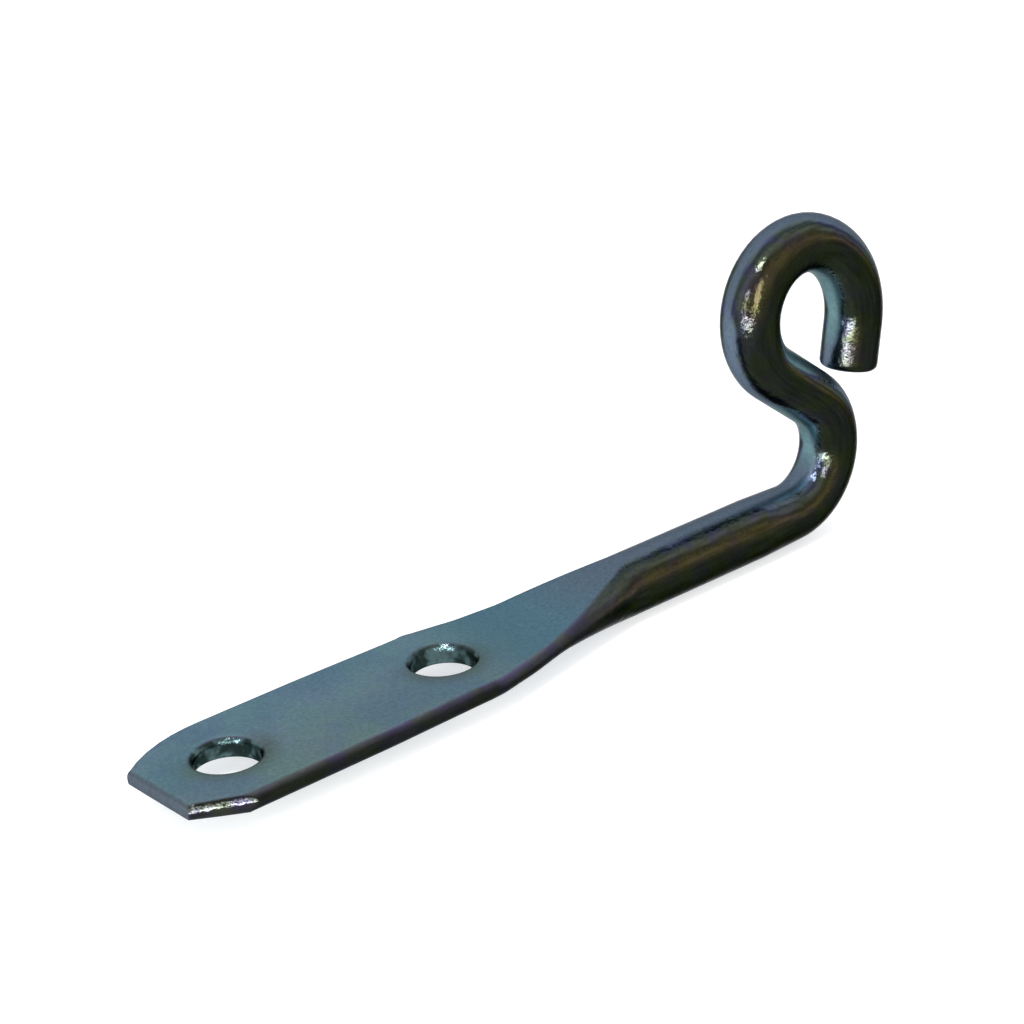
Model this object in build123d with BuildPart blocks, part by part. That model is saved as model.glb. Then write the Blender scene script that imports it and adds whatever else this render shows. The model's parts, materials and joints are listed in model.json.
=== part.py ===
"""Keder hook: a round steel rod, pressed flat into a screw-down blade at one end and bent into an open eye.

Frame, in millimetres: the origin is midway between the screw holes, on the mounting face under the blade.
+X runs along the rod towards the eye, +Y across the blade and +Z out of the mounting face.
"""

import os
from math import cos, radians, sin, sqrt

from build123d import *

# Rod
rod_diameter = 6.0
bent_diameter = 5.65  # the bends draw the rod slightly thinner
axis_height = 1.25  # rod axis above the mounting face: the dies press more off the top than off the bottom

# Outline of the pressed blade
blade_width = 14.6  # round the outer hole
neck_width = 14.1  # at the inner hole
neck_length = 12.0  # stretch over which the blade eases from one width to the other
shoulder_length = 21.0  # from the inner hole centre to the full rod
corner_blend = 2.0  # length of the rounding at both ends of a taper
end_margin = 7.1  # outer hole centre to the cut end
nose_radius = 13.5  # rounding of the +Y corner
nose_start = 1.5  # from the outer hole centre to where that rounding starts, towards the inner hole
end_round = 0.6  # rounding of the top edge of the cut end

# Clipped corner of the cut end, on the -Y side
clip_inset = 4.7  # from the middle of the end to the start of the clip
clip_angle = 27.0

# Sides that bulge out between the dies
bulge = 0.05  # radius of the blade's sides beyond half its thickness
crown_angle = 3.0  # the side arcs stop this short of upright, and flatter arcs join them
swell_start = 9.0  # from the inner hole centre to where the sides start to grow round
side_lift = 0.2  # how far the middle of the shoulder's sides rises above a straight run

# Dies that press the blade between them
blade_thickness = 1.8
die_land = 5.0  # from the inner hole centre to where the dies start to open
die_radius = 40.0
die_angle = 10.8
end_relief = 0.45  # the underside rises by this much at the cut end
end_relief_length = 11.0

# Screw holes, punched from above
hole_spacing = 23.0
hole_diameter = 5.8
outer_hole_roll = 0.6  # radius of the edge that the punch drew in
inner_hole_chamfer = 0.4

# Bent end, in the order that the bends follow along the rod
arm_length = 43.1  # inner hole centre to the first bend
draw_length = 5.0  # stretch before the first bend over which the rod gets thinner
bend_radius = 6.1
bend_angle = 142.0
rise_length = 6.5
eye_radius = 6.5
eye_angle = 164.0
mouth_radius = 8.2
mouth_angle = 79.5
tail_length = 4.55
cut_edge_round = 0.7

section_spacing = 1.5  # between two sections of the pressed end

rod_radius = rod_diameter / 2
die_reach = 3 * rod_diameter  # how far the slopes of the dies run on, past the rod
blade_side_radius = blade_thickness / 2 + bulge
outer_hole_x = -hole_spacing / 2
inner_hole_x = hole_spacing / 2
blade_end_x = outer_hole_x - end_margin
swell_x = inner_hole_x + swell_start
die_open_x = inner_hole_x + die_land
rod_start_x = inner_hole_x + shoulder_length
bend_x = inner_hole_x + arm_length
draw_x = bend_x - draw_length
relief_x = blade_end_x + end_relief_length


def taper(x, start_x, end_x):
    """Share, from 0 to 1, that a straight taper with rounded corners has done at x."""
    start_part = min(max(x - start_x, 0), corner_blend)
    end_part = min(max(end_x - x, 0), corner_blend)
    straight_part = min(max(x - start_x, corner_blend), end_x - start_x - corner_blend)
    rounded = (start_part**2 - end_part**2) / (2 * corner_blend)
    return (straight_part - corner_blend / 2 + rounded) / (end_x - start_x - corner_blend)


def half_width(x):
    """Half the width of the pressed end: blade, slightly narrower neck, then down to the rod."""
    width = blade_width + (neck_width - blade_width) * taper(x, inner_hole_x - neck_length, inner_hole_x)
    width += (rod_diameter - neck_width) * taper(x, inner_hole_x, rod_start_x)
    return width / 2


def pressed_section(x):
    """Section of the pressed end before the dies level it: an oval of four tangent arcs."""
    side_radius = blade_side_radius + (rod_radius - blade_side_radius) * taper(x, swell_x, rod_start_x)
    opening = taper(x, die_open_x, rod_start_x)
    mid_z = blade_thickness / 2 + (axis_height - blade_thickness / 2) * opening
    mid_z += side_lift * (1 - (2 * opening - 1) ** 2)  # a parabola, highest halfway
    inset = max(0, outer_hole_x + nose_start - x)
    nose_drop = nose_radius - sqrt(nose_radius**2 - inset**2)
    mid_y = -nose_drop / 2
    half_y = half_width(x) - nose_drop / 2
    centre_y = half_y - side_radius
    corner_y = centre_y + side_radius * sin(radians(crown_angle))
    corner_z = side_radius * cos(radians(crown_angle))
    half_z = corner_z + corner_y * (1 - cos(radians(crown_angle))) / sin(radians(crown_angle))
    section_plane = Plane((x, mid_y, mid_z), x_dir=(0, 1, 0), z_dir=(1, 0, 0))
    with BuildLine(section_plane):
        right = ThreePointArc((corner_y, -corner_z), (half_y, 0), (corner_y, corner_z))
        top = ThreePointArc((corner_y, corner_z), (0, half_z), (-corner_y, corner_z))
        left = ThreePointArc((-corner_y, corner_z), (-half_y, 0), (-corner_y, -corner_z))
        bottom = ThreePointArc((-corner_y, -corner_z), (0, -half_z), (corner_y, -corner_z))
    return Face(Wire([right, top, left, bottom]))


def rod_section(x, diameter):
    """Round section of the arm."""
    with BuildLine(Plane.YZ.offset(x)):
        outline = CenterArc((0, axis_height), diameter / 2, 0, 360)
    return Face(Wire([outline]))


def stations(start_x, end_x):
    """Evenly spaced places for sections, both ends included."""
    count = round((end_x - start_x) / section_spacing)
    return [start_x + (end_x - start_x) * place / count for place in range(count + 1)]


with BuildPart() as hook:
    # Pressed end: the rod spread sideways
    loft([pressed_section(x) for x in stations(blade_end_x, inner_hole_x)], ruled=True)
    loft([pressed_section(x) for x in stations(inner_hole_x, rod_start_x)])

    # Straight arm, drawn slightly thinner just before the bends
    arm_end = rod_section(bend_x, bent_diameter)
    with BuildSketch(Plane.YZ.offset(rod_start_x)):
        with Locations((0, axis_height)):
            Circle(rod_radius)
    extrude(amount=draw_x - rod_start_x)
    loft([rod_section(draw_x, rod_diameter), arm_end])

    # Upper die: flat over the blade, then opening to clear the rod
    with BuildSketch(Plane.XZ):
        with BuildLine():
            land = Line((blade_end_x - end_margin, blade_thickness), (die_open_x, blade_thickness))
            opening = JernArc(land @ 1, (1, 0), die_radius, die_angle)
            incline = Line(opening @ 1, opening @ 1 + die_reach * (opening % 1))
            far_corner = Vector((land @ 0).X, (incline @ 1).Y)
            Polyline(incline @ 1, far_corner, land @ 0)
        make_face()
    extrude(amount=blade_width, both=True, mode=Mode.SUBTRACT)

    # Lower die: relieved at the cut end, flat under the blade, then opening
    with BuildSketch(Plane.XZ):
        with BuildLine():
            land = Line((die_open_x, 0), (relief_x, 0))
            relief = TangentArc(land @ 1, (blade_end_x, end_relief), tangent=(-1, 0))
            run_out = Line(relief @ 1, relief @ 1 + end_margin * (relief % 1))
            incline = PolarLine(land @ 0, die_reach, -die_angle)
            far_corner = Vector((run_out @ 1).X, (incline @ 1).Y)
            Polyline(run_out @ 1, far_corner, incline @ 1)
        make_face()
    extrude(amount=blade_width, both=True, mode=Mode.SUBTRACT)

    # Bends
    with BuildLine(Plane.XZ) as route:
        bend = JernArc((bend_x, axis_height), (1, 0), bend_radius, bend_angle)
        rise = Line(bend @ 1, bend @ 1 + rise_length * (bend % 1))
        eye = JernArc(rise @ 1, rise % 1, eye_radius, -eye_angle)
        mouth = JernArc(eye @ 1, eye % 1, mouth_radius, -mouth_angle)
        tail = Line(mouth @ 1, mouth @ 1 + tail_length * (mouth % 1))
    sweep(arm_end, path=route.wire())
    cut_face = hook.faces().filter_by(GeomType.PLANE).sort_by_distance(tail @ 1)[0]
    fillet(cut_face.edges(), cut_edge_round)

    # Cut end of the blade: the -Y corner is clipped off straight and the top edge is rounded
    with BuildSketch(Plane.XY):
        with Locations(Location((blade_end_x, -clip_inset), -clip_angle)):
            Rectangle(2 * blade_width, blade_width, align=(Align.CENTER, Align.MAX))
    extrude(amount=blade_thickness, mode=Mode.SUBTRACT)
    end_face = hook.faces().filter_by(Axis.X).sort_by(Axis.X)[0]
    fillet(end_face.edges().sort_by(Axis.Z)[-1], end_round)

    # Screw holes
    with BuildSketch(Plane.XY):
        with Locations((outer_hole_x, 0), (inner_hole_x, 0)):
            Circle(hole_diameter / 2)
    extrude(amount=rod_diameter, both=True, mode=Mode.SUBTRACT)
    level_edges = hook.edges().filter_by(Plane.XY)
    fillet(level_edges.sort_by_distance((outer_hole_x, 0, blade_thickness))[0], outer_hole_roll)
    level_edges = hook.edges().filter_by(Plane.XY)
    chamfer(level_edges.sort_by_distance((inner_hole_x, 0, blade_thickness))[0], inner_hole_chamfer)

hook.part.label = "hook"
os.makedirs("parts", exist_ok=True)
export_step(hook.part, "parts/hook.step")
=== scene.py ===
"""Looks of the keder hook: its passivated zinc finish, a pale floor, soft studio light and the camera.

Scene units are metres, in the part's own frame: +X along the rod towards the eye, +Y across the blade and +Z
out of the mounting face. The near side is -Y.
"""

import json
import math

import bpy
from mathutils import Matrix, Vector


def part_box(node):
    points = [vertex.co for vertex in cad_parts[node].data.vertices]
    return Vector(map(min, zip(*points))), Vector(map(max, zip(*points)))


MM = 0.001

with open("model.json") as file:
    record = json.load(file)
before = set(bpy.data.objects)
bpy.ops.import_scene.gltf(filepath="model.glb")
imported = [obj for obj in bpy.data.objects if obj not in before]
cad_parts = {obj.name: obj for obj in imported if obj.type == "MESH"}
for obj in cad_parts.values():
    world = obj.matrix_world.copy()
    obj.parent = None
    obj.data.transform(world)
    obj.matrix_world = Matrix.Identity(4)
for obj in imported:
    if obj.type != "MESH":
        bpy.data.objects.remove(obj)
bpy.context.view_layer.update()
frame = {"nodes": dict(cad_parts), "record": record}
hook = frame["nodes"]["hook"]
low_corner, high_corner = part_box("hook")

# Camera
AIM = Vector((20.63, 0, 12.76)) * MM
CAMERA_DISTANCE = 228.06 * MM
CAMERA_HEADING = math.radians(38.64)  # from +Y towards +X
CAMERA_ELEVATION = math.radians(22.92)
CAMERA_ROLL = math.radians(4.80)  # the right side of the picture dips
CLIP_START = 10 * MM
LENS_MM = 91.4
SENSOR_MM = 36

# Floor
FLOOR_GAP = 0.044 * MM  # under the lowest side of the rod
FLOOR_SIZE = 6.0
FLOOR_COLOUR = (0.62, 0.62, 0.62, 1)
FLOOR_WHITE = 0.5  # plain white added to what the camera and the metal see of the floor

# World
SKY_COLOUR = (1, 1, 1, 1)
SKY_STRENGTH = 1.0

# Lamps round the hook, by heading from +Y towards +X and by elevation, in degrees
LAMP_DISTANCE = 500 * MM
STRIP_WIDTH = 22 * MM
STRIP_HEIGHT = 290 * MM
STRIP_WATTS = 1.0
STRIPS = ((-151, 15), (-111, 15))
TOP_SIZE = 50 * MM
TOP_WATTS = 0.7
TOP_DIRECTION = (-125, 60)

# A low bar near the floor, which the tail and the bend mirror
BAR_WIDTH = 75 * MM
BAR_HEIGHT = 12 * MM
BAR_WATTS = 0.2
BAR_PLACE = Vector((-66, -88, 7)) * MM
BAR_AIM = Vector((60, -2, 17)) * MM

# Places along the hook: the holes and the sides from the frame, the others along X from the inner hole
HOLES = next(mount["dims"] for mount in frame["record"]["mounts"] if mount["name"] == "screw_holes")
HOLE_RADIUS = HOLES["hole_r_mm"] * MM
INNER_HOLE_X = HOLES["spacing_x_mm"] / 2 * MM
OUTER_HOLE_X = -INNER_HOLE_X
HALF_WIDTH = (high_corner.y - low_corner.y) / 2
BLADE_END_X = INNER_HOLE_X + 8.5 * MM  # here the pressed sides start to turn round
ARM_START_X = INNER_HOLE_X + 21.0 * MM  # here the rod is round
BEND_CENTRE = (INNER_HOLE_X + 43.1 * MM, 0, 7.35 * MM)
EYE_CENTRE = (INNER_HOLE_X + 45.7 * MM, 0, 21.3 * MM)
INNER_SIDE = (5.5 * MM, 6.875 * MM)  # off those centres, from the inner to the outer side of the bends
CROOK = (6.8 * MM, 4.6 * MM)  # height, down into the bend, where the inner side turns slate like the arm

# Relief
SOFT_EDGE = 0.45 * MM  # the plating rounds every crisp edge
BUMP_DEPTH = 0.07 * MM
DIMPLE_SHARE = 0.7  # the rest of the bumps is grain
FACE_BUMP = 0.15  # how much of the bumps the pressed faces keep
PALE_ROUGHNESS = 0.32
FLANK_ROUGHNESS = 0.13

# Clipped corner, whose upper half the shears rolled over
CLIP = (OUTER_HOLE_X, OUTER_HOLE_X - 0.25 * HALF_WIDTH)  # along X, from the plain side to the corner
CLIP_FACING = (0.5, 0.7)  # share of the normal towards -Y
ROLL_START_Z = 0.7 * MM
ROLL_RADIUS = 1.4 * MM

# Noises: scale per metre, detail and roughness
CLOUDS = (150, 3, 0.5)
DRIFT = (300, 3, 0.6)
TINTS = (420, 2, 0.5)
BLOTCHES = (650, 2, 0.5)
DIMPLES = (1700, 2, 0.5)
GRAIN = (3200, 2, 0.6)
STREAKS = (1, 2, 0.6)  # on coordinates already scaled by the two values below
STREAK_ROUND = 26  # round the rod, per radian
STREAK_ALONG = 260  # along the rod, per metre

# Spans of a noise over which one colour passes into the next
CLOUD_SPAN = (0.4, 0.7)
DRIFT_SPAN = (0.35, 0.65)
TINT_SPAN = (0.42, 0.62)
BLOTCH_SPAN = (0.44, 0.62)
STREAK_SPAN = (0.3, 0.7)

# Brightness that streaks and grain give: the lowest, and how far it can rise from there
STREAK_LOW, STREAK_RISE = 0.6, 0.8
GRAIN_LOW, GRAIN_RISE = 0.65, 0.7

# Spans of the way that the surface faces, as shares of the normal
LIT_UP = (0.0, 0.35)
NEAR_SIDE = (0.1, -0.1)
END_ON = (0.3, 0.8)
LIP_UP = (-0.3, 0.1)
HOLE_STEEP = (0.95, 0.75)

# The pale band along the rod ends, and the painted shade of the flanks begins, at this flank angle, in
# degrees from the rod's own plane
BAND_EDGE = (18, 27)
BLOTCH_WOBBLE = 9
GRAIN_WOBBLE = 8

# Degrees that the band gains over the painted shade for each full share of the normal. A negative share
# makes it a loss.
GAIN_X = 8
GAIN_LEFT_LIT = 20  # on the near outer side, with a share below 0
GAIN_RIGHT_LIT = 70
RIGHT_LIMIT = 0.35  # beyond this share to the right, the band gains no more
GAIN_INNER = 11  # on the inner side of the bends, facing up or down
GAIN_INNER_UNDER = -15  # there as well, facing down, with a share below 0
GAIN_INNER_LIP = 60  # there as well, facing right but not down

# Finish of the pressed faces, as linear colours
NEAR_TEAL = (0.136, 0.205, 0.227, 1)
FAR_TEAL = (0.138, 0.230, 0.290, 1)
NECK_BLUE = (0.090, 0.180, 0.238, 1)
CLOUD_SHARE = 0.6
# Painted shade of the dished rims round the holes, grey-green, strongest on their near side
RIM_PAINTED_SHADE = (0.098, 0.140, 0.135, 1)  # round the holes, strongest on their near side
RING = (1.9 * HOLE_RADIUS, HOLE_RADIUS)  # from the middle of a hole
RING_NEAR_Y = (HOLE_RADIUS, -0.4 * HOLE_RADIUS)
END_GREY = (0.092, 0.117, 0.145, 1)

# Painted shade inside the screw holes: dark in blotches, with teal between
HOLE_PAINTED_SHADE = (0.018, 0.032, 0.030, 1)
HOLE_TEAL = (0.090, 0.150, 0.160, 1)
HOLE_REACH = (1.2 * HOLE_RADIUS, 1.02 * HOLE_RADIUS)  # from the middle of a hole

# Finish of the rod on its top, bottom and outer sides, and on its inner side
SLATE = (0.106, 0.145, 0.198, 1)
INNER_TEAL = (0.120, 0.212, 0.235, 1)

# Tints that drift over the pale parts and over the flanks
GREEN_TINT = (0.97, 1.03, 0.96, 1)
LILAC_TINT = (1.04, 0.97, 1.04, 1)
GOLD_TINT = (1.08, 1.04, 0.78, 1)
VIOLET_TINT = (1.08, 0.90, 1.20, 1)
EDGE_TINT = (0.46, 0.46, 0.46, 1)  # the film stays dark where it is seen at a slant

# Painted shade round the flanks, by the flank angle in degrees, in lit and shaded copies; the lighter lit
# stops at 45 and 65 degrees are painted sheen
SQUARE_ON = 90
LIT_FLANK = (
    (24, (0.092, 0.126, 0.172, 1)),
    (32, (0.027, 0.041, 0.056, 1)),
    (45, (0.057, 0.070, 0.066, 1)),
    (54, (0.023, 0.024, 0.018, 1)),
    (65, (0.056, 0.051, 0.028, 1)),
    (77, (0.021, 0.022, 0.013, 1)),
    (88, (0.010, 0.015, 0.009, 1)),
)
SHADED_FLANK = (
    (22, (0.080, 0.125, 0.150, 1)),
    (31, (0.016, 0.024, 0.022, 1)),
    (48, (0.012, 0.016, 0.012, 1)),
    (75, (0.009, 0.013, 0.008, 1)),
)
# Painted shade on the sides of the blade
BLADE_FLANK_PAINTED_SHADE = (
    (18, (0.120, 0.135, 0.190, 1)),
    (40, (0.050, 0.056, 0.074, 1)),
    (62, (0.019, 0.022, 0.024, 1)),
    (80, (0.009, 0.012, 0.010, 1)),
)

# Sockets of a Mix node that mixes colours
MIX_SHARE, MIX_FIRST, MIX_SECOND = 0, 6, 7
MIX_RESULT = 2


def make_camera():
    """Stand the camera off the aim point, looking down and turned slightly about its own axis."""
    level = math.cos(CAMERA_ELEVATION)
    forward = Vector(
        (math.sin(CAMERA_HEADING) * level, math.cos(CAMERA_HEADING) * level, -math.sin(CAMERA_ELEVATION))
    )
    flat_right = forward.cross(Vector((0, 0, 1))).normalized()
    flat_up = flat_right.cross(forward)
    right = flat_right * math.cos(CAMERA_ROLL) - flat_up * math.sin(CAMERA_ROLL)
    up = flat_up * math.cos(CAMERA_ROLL) + flat_right * math.sin(CAMERA_ROLL)
    data = bpy.data.cameras.new("camera")
    data.lens = LENS_MM
    data.sensor_width = SENSOR_MM
    data.clip_start = CLIP_START
    camera = bpy.data.objects.new("camera", data)
    bpy.context.scene.collection.objects.link(camera)
    turn = Matrix((right, up, -forward)).transposed().to_4x4()
    camera.matrix_world = Matrix.Translation(AIM - forward * CAMERA_DISTANCE) @ turn
    bpy.context.scene.camera = camera


def make_lamp(name, place, aim, width, height, watts):
    """A soft rectangular lamp, upright, that shines at the aim. The camera doesn't see it."""
    data = bpy.data.lights.new(name, "AREA")
    data.shape = "RECTANGLE"
    data.size = width
    data.size_y = height
    data.energy = watts
    lamp = bpy.data.objects.new(name, data)
    bpy.context.scene.collection.objects.link(lamp)
    lamp.location = place
    lamp.rotation_euler = (place - aim).to_track_quat("Z", "Y").to_euler()
    lamp.visible_camera = False


def lamp_place(heading, elevation):
    """Place off the camera's aim, by direction in degrees, at the lamps' distance."""
    turn = math.radians(heading)
    rise = math.radians(elevation)
    away = Vector((math.sin(turn) * math.cos(rise), math.cos(turn) * math.cos(rise), math.sin(rise)))
    return AIM + away * LAMP_DISTANCE


def make_lamps():
    """Two tall strips, a small lamp above them and the low bar."""
    for number, direction in enumerate(STRIPS):
        make_lamp(f"strip {number}", lamp_place(*direction), AIM, STRIP_WIDTH, STRIP_HEIGHT, STRIP_WATTS)
    make_lamp("top", lamp_place(*TOP_DIRECTION), AIM, TOP_SIZE, TOP_SIZE, TOP_WATTS)
    make_lamp("low", BAR_PLACE, BAR_AIM, BAR_WIDTH, BAR_HEIGHT, BAR_WATTS)


class Tree:
    """Short ways of adding nodes to one material or world."""

    def __init__(self, owner):
        owner.use_nodes = True
        self.nodes = owner.node_tree.nodes
        self.links = owner.node_tree.links
        self.nodes.clear()

    def add(self, kind, settings=None, **inputs):
        node = self.nodes.new(kind)
        for name, value in (settings or {}).items():
            setattr(node, name, value)
        for name, value in inputs.items():
            self.feed(node.inputs[name.replace("_", " ")], value)
        return node

    def feed(self, socket, value):
        """Link a socket to another one or set its value. A vector socket takes a colour without alpha."""
        if isinstance(value, bpy.types.NodeSocket):
            self.links.new(value, socket)
        elif socket.type == "VECTOR" and len(value) == 4:
            socket.default_value = value[:3]
        else:
            socket.default_value = value

    def math(self, operation, *values, clamp=False):
        node = self.add("ShaderNodeMath", {"operation": operation, "use_clamp": clamp})
        for socket, value in zip(node.inputs, values):
            self.feed(socket, value)
        return node.outputs[0]

    def total(self, first, *others):
        for value in others:
            first = self.math("ADD", first, value)
        return first

    def product(self, first, *others):
        for value in others:
            first = self.math("MULTIPLY", first, value)
        return first

    def vector(self, operation, *values, result="Vector"):
        node = self.add("ShaderNodeVectorMath", {"operation": operation})
        for socket, value in zip(node.inputs, values):
            self.feed(socket, value)
        return node.outputs[result]

    def scaled(self, colour, share):
        node = self.add("ShaderNodeVectorMath", {"operation": "SCALE"}, Vector=colour, Scale=share)
        return node.outputs["Vector"]

    def ramp(self, value, start, end):
        """0 up to start and 1 from end on, smooth between. Start may be the higher of the two."""
        settings = {"interpolation_type": "SMOOTHSTEP"}
        node = self.add("ShaderNodeMapRange", settings, Value=value, From_Min=start, From_Max=end)
        return node.outputs["Result"]

    def mix(self, share, first, second):
        """The first colour where the share is 0 and the second where it is 1."""
        node = self.add("ShaderNodeMix", {"data_type": "RGBA"})
        self.feed(node.inputs[MIX_SHARE], share)
        self.feed(node.inputs[MIX_FIRST], first)
        self.feed(node.inputs[MIX_SECOND], second)
        return node.outputs[MIX_RESULT]

    def split(self, vector):
        return self.add("ShaderNodeSeparateXYZ", Vector=vector).outputs

    def noise(self, place, scale, detail, roughness):
        node = self.add("ShaderNodeTexNoise", Vector=place, Scale=scale, Detail=detail, Roughness=roughness)
        return node.outputs["Fac"]


def make_floor():
    """A large pale sheet under the hook. It keeps the hook's shadow."""
    bpy.ops.mesh.primitive_plane_add(size=FLOOR_SIZE, location=(0, 0, low_corner.z - FLOOR_GAP))
    floor = bpy.context.object
    floor.name = "floor"
    material = bpy.data.materials.new("pale floor")
    tree = Tree(material)
    path = tree.add("ShaderNodeLightPath").outputs
    seen = tree.math("MAXIMUM", path["Is Camera Ray"], path["Is Glossy Ray"])
    seen = tree.math("MAXIMUM", seen, path["Is Transmission Ray"])
    paint = tree.add("ShaderNodeBsdfDiffuse", Color=FLOOR_COLOUR).outputs[0]
    white = tree.add("ShaderNodeEmission", Strength=tree.product(seen, FLOOR_WHITE)).outputs[0]
    both = tree.add("ShaderNodeAddShader")
    tree.feed(both.inputs[0], paint)
    tree.feed(both.inputs[1], white)
    tree.add("ShaderNodeOutputMaterial", Surface=both.outputs[0])
    floor.data.materials.append(material)


def make_world():
    """Even white studio surroundings."""
    world = bpy.data.worlds.new("studio")
    bpy.context.scene.world = world
    tree = Tree(world)
    background = tree.add("ShaderNodeBackground", Color=SKY_COLOUR, Strength=SKY_STRENGTH)
    tree.add("ShaderNodeOutputWorld", Surface=background.outputs[0])


class ZincTree(Tree):
    """Blue-passivated zinc: teal and slate on the pressed faces and along the bends, with painted shade on
    the flanks and the hole walls.

    It is laid out by place on the hook and by the way that the surface faces there, in the part's own frame.
    """

    def __init__(self, material):
        super().__init__(material)
        self.place = self.add("ShaderNodeTexCoord").outputs["Object"]
        self.where = self.split(self.place)
        self.normal = self.add("ShaderNodeBevel", Radius=SOFT_EDGE).outputs[0]
        turned = {"vector_type": "NORMAL", "convert_from": "WORLD", "convert_to": "OBJECT"}
        own_normal = self.add("ShaderNodeVectorTransform", turned, Vector=self.normal).outputs[0]
        self.facing = self.split(own_normal)
        self.blotch = self.noise(self.place, *BLOTCHES)
        self.grain = self.noise(self.place, *GRAIN)
        self.sideways = self.math("MINIMUM", self.math("ABSOLUTE", self.facing["Y"]), 1)
        self.upright = self.math("ABSOLUTE", self.facing["Z"])
        # Painted light from above: where the surface faces up, the flanks take their lit colours and the
        # pale band reaches further round
        self.lit = self.ramp(self.facing["Z"], *LIT_UP)
        self.arm = self.ramp(self.where["X"], BLADE_END_X, ARM_START_X)
        to_bend = self.vector("DISTANCE", self.place, BEND_CENTRE, result="Value")
        to_eye = self.vector("DISTANCE", self.place, EYE_CENTRE, result="Value")
        self.outside = self.ramp(self.math("MINIMUM", to_bend, to_eye), *INNER_SIDE)
        to_outer = self.distance_to_hole(OUTER_HOLE_X)
        to_inner = self.distance_to_hole(INNER_HOLE_X)
        self.to_hole = self.math("MINIMUM", to_outer, to_inner)

    def distance_to_hole(self, x):
        """Level distance to the centre line of a screw hole."""
        along = self.math("POWER", self.math("SUBTRACT", self.where["X"], x), 2)
        across = self.math("POWER", self.where["Y"], 2)
        return self.math("SQRT", self.total(along, across))

    def band_gain(self):
        """Degrees that the pale band gains over the painted shade: to the right, and on the inner side of
        the bends.
        """
        left = self.math("MINIMUM", self.facing["X"], 0)
        right = self.math("MAXIMUM", self.facing["X"], 0)
        near = self.product(self.ramp(self.facing["Y"], *NEAR_SIDE), self.outside)
        under = self.math("MINIMUM", self.facing["Z"], 0)
        lip = self.product(right, self.ramp(self.facing["Z"], *LIP_UP))
        inner = self.total(
            self.product(self.upright, GAIN_INNER),
            self.product(under, GAIN_INNER_UNDER),
            self.product(lip, GAIN_INNER_LIP),
        )
        return self.total(
            self.product(self.facing["X"], GAIN_X),
            self.product(self.lit, GAIN_LEFT_LIT, left, near),
            self.product(self.lit, GAIN_RIGHT_LIT, self.math("MINIMUM", right, RIGHT_LIMIT)),
            self.product(self.math("SUBTRACT", 1, self.outside), inner),
        )

    def flank_angle(self):
        """Degrees round the rod, 0 on its own plane and 90 square to it, less the gain and made ragged; it
        places the painted shade.
        """
        angle = self.product(self.math("ARCSINE", self.sideways), math.degrees(1))
        return self.total(
            self.math("SUBTRACT", angle, self.band_gain()),
            self.product(self.math("SUBTRACT", self.blotch, 0.5), BLOTCH_WOBBLE),
            self.product(self.math("SUBTRACT", self.grain, 0.5), GRAIN_WOBBLE),
        )

    def streaks(self):
        """Lengthwise streaks, drawn along the rod and its bends."""
        along = self.add("ShaderNodeCombineXYZ")
        self.feed(along.inputs["X"], self.product(self.math("ARCSINE", self.sideways), STREAK_ROUND))
        self.feed(along.inputs["Y"], self.product(self.where["X"], STREAK_ALONG))
        self.feed(along.inputs["Z"], self.product(self.where["Z"], STREAK_ALONG))
        return self.ramp(self.noise(along.outputs[0], *STREAKS), *STREAK_SPAN)

    def pressed_faces(self):
        """Clouded teal, bluer towards the shoulder and greyer at the cut end, with painted shade on the
        dished rims round the holes.
        """
        across = self.ramp(self.where["Y"], -HALF_WIDTH, HALF_WIDTH)
        colour = self.mix(across, NEAR_TEAL, FAR_TEAL)
        cloud = self.ramp(self.noise(self.place, *CLOUDS), *CLOUD_SPAN)
        colour = self.mix(self.product(cloud, CLOUD_SHARE), colour, NECK_BLUE)
        # Painted shade on the dished rims of the holes
        rim_shade = self.product(self.ramp(self.to_hole, *RING), self.ramp(self.where["Y"], *RING_NEAR_Y))
        colour = self.mix(rim_shade, colour, RIM_PAINTED_SHADE)
        drift = self.ramp(self.noise(self.place, *DRIFT), *DRIFT_SPAN)
        colour = self.vector("MULTIPLY", colour, self.mix(drift, GREEN_TINT, LILAC_TINT))
        colour = self.mix(self.ramp(self.where["X"], INNER_HOLE_X, BLADE_END_X), colour, NECK_BLUE)
        return self.mix(self.ramp(self.math("ABSOLUTE", self.facing["X"]), *END_ON), colour, END_GREY)

    def rod_band(self):
        """Slate, and teal on the inner side of the bends."""
        low = self.ramp(self.where["Z"], *CROOK)
        return self.mix(self.math("MAXIMUM", self.outside, low), INNER_TEAL, SLATE)

    def by_angle(self, angle, stops):
        """Colour by the flank angle."""
        node = self.add("ShaderNodeValToRGB", Fac=self.math("DIVIDE", angle, SQUARE_ON))
        points = node.color_ramp.elements
        while len(points) < len(stops):
            points.new(0.5)
        for point, (degrees, colour) in zip(points, stops):
            point.position = degrees / SQUARE_ON
            point.color = colour
        return node.outputs["Color"]

    def painted_flank_shade(self, angle):
        """Painted shade on the flanks: nearly black, lighter where they face up, with bronze and violet in
        the streaks.
        """
        colour = self.mix(self.lit, self.by_angle(angle, SHADED_FLANK), self.by_angle(angle, LIT_FLANK))
        colour = self.mix(self.arm, self.by_angle(angle, BLADE_FLANK_PAINTED_SHADE), colour)
        colour = self.scaled(colour, self.total(STREAK_LOW, self.product(self.streaks(), STREAK_RISE)))
        tint = self.ramp(self.noise(self.place, *TINTS), *TINT_SPAN)
        return self.vector("MULTIPLY", colour, self.mix(tint, GOLD_TINT, VIOLET_TINT))

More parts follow.
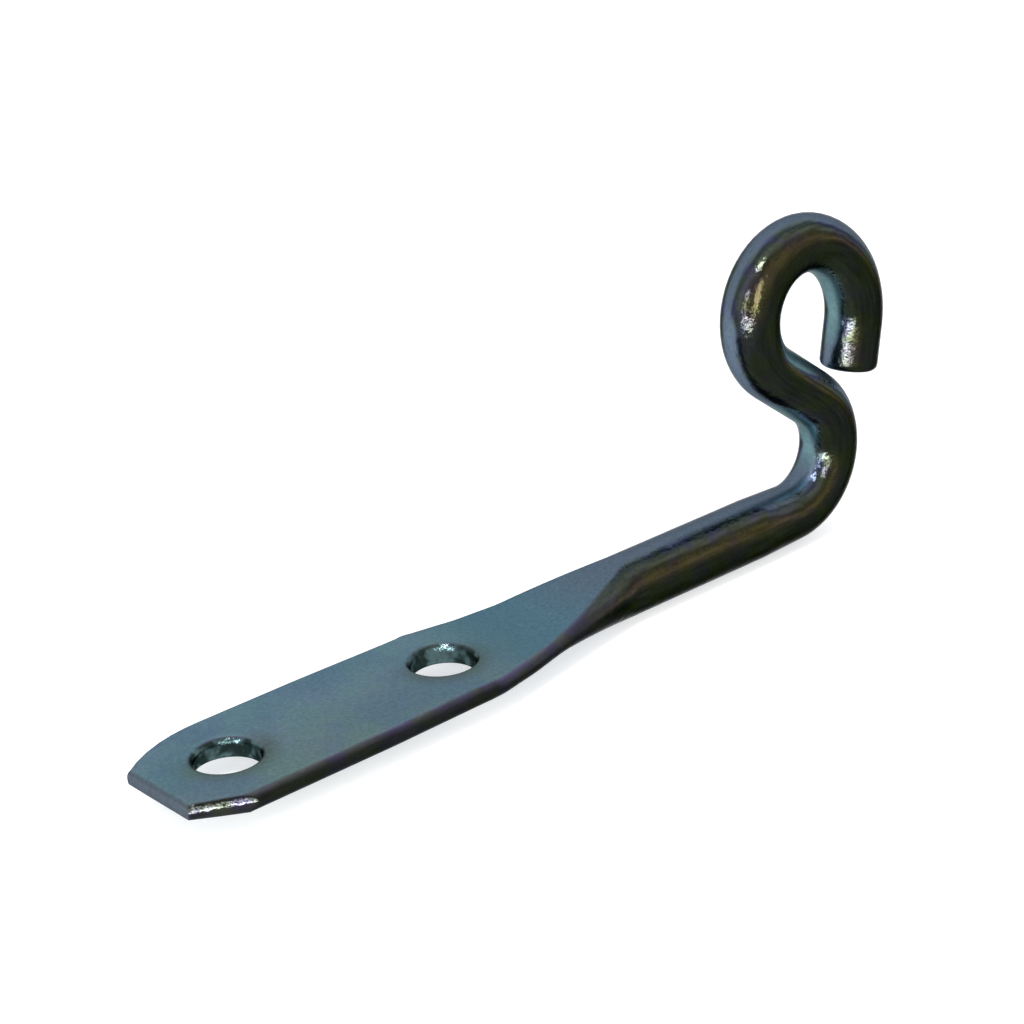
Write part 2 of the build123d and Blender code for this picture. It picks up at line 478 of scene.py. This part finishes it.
    def with_hole_shade(self, colour):
        """Painted shade on the walls of the screw holes: dark blotches with teal between."""
        wall = self.product(self.ramp(self.to_hole, *HOLE_REACH), self.ramp(self.upright, *HOLE_STEEP))
        return self.mix(wall, colour, self.mix(self.ramp(self.blotch, *BLOTCH_SPAN), HOLE_PAINTED_SHADE, HOLE_TEAL))

    def rolled_normal(self):
        """The softened normal, tipped upwards over the rolled part of the clipped corner."""
        corner = self.product(
            self.ramp(self.where["X"], *CLIP),
            self.ramp(self.product(self.facing["Y"], -1), *CLIP_FACING),
        )
        above = self.math("SUBTRACT", self.where["Z"], ROLL_START_Z)
        rise = self.math("DIVIDE", above, ROLL_RADIUS, clamp=True)
        up = self.add("ShaderNodeCombineXYZ", Z=self.product(rise, corner)).outputs[0]
        return self.vector("NORMALIZE", self.vector("ADD", self.normal, up))

    def bumps(self, edge):
        """Dimples and grain, faint on the pressed faces."""
        height = self.total(
            self.product(self.noise(self.place, *DIMPLES), DIMPLE_SHARE),
            self.product(self.grain, 1 - DIMPLE_SHARE),
        )
        height = self.product(height, self.total(FACE_BUMP, self.product(edge, 1 - FACE_BUMP)))
        bump = self.add(
            "ShaderNodeBump", Strength=1.0, Distance=BUMP_DEPTH, Height=height, Normal=self.rolled_normal()
        )
        return bump.outputs[0]

    def build(self):
        """Put the parts of the finish together."""
        angle = self.flank_angle()
        # Past the band's edge the painted shade of the flanks takes over from the pale finish
        edge = self.ramp(angle, *BAND_EDGE)
        pale = self.mix(self.arm, self.pressed_faces(), self.rod_band())
        colour = self.with_hole_shade(self.mix(edge, pale, self.painted_flank_shade(angle)))
        colour = self.scaled(colour, self.total(GRAIN_LOW, self.product(self.grain, GRAIN_RISE)))
        gloss = self.math("SUBTRACT", PALE_ROUGHNESS, self.product(edge, PALE_ROUGHNESS - FLANK_ROUGHNESS))
        shader = self.add(
            "ShaderNodeBsdfPrincipled",
            Base_Color=colour,
            Metallic=1.0,
            Roughness=gloss,
            Specular_Tint=EDGE_TINT,
            Normal=self.bumps(edge),
        )
        self.add("ShaderNodeOutputMaterial", Surface=shader.outputs[0])


bpy.context.scene.view_settings.view_transform = "Standard"
make_camera()
make_floor()
make_world()
make_lamps()

zinc = bpy.data.materials.new("passivated zinc")
ZincTree(zinc).build()
hook.data.materials.clear()
hook.data.materials.append(zinc)
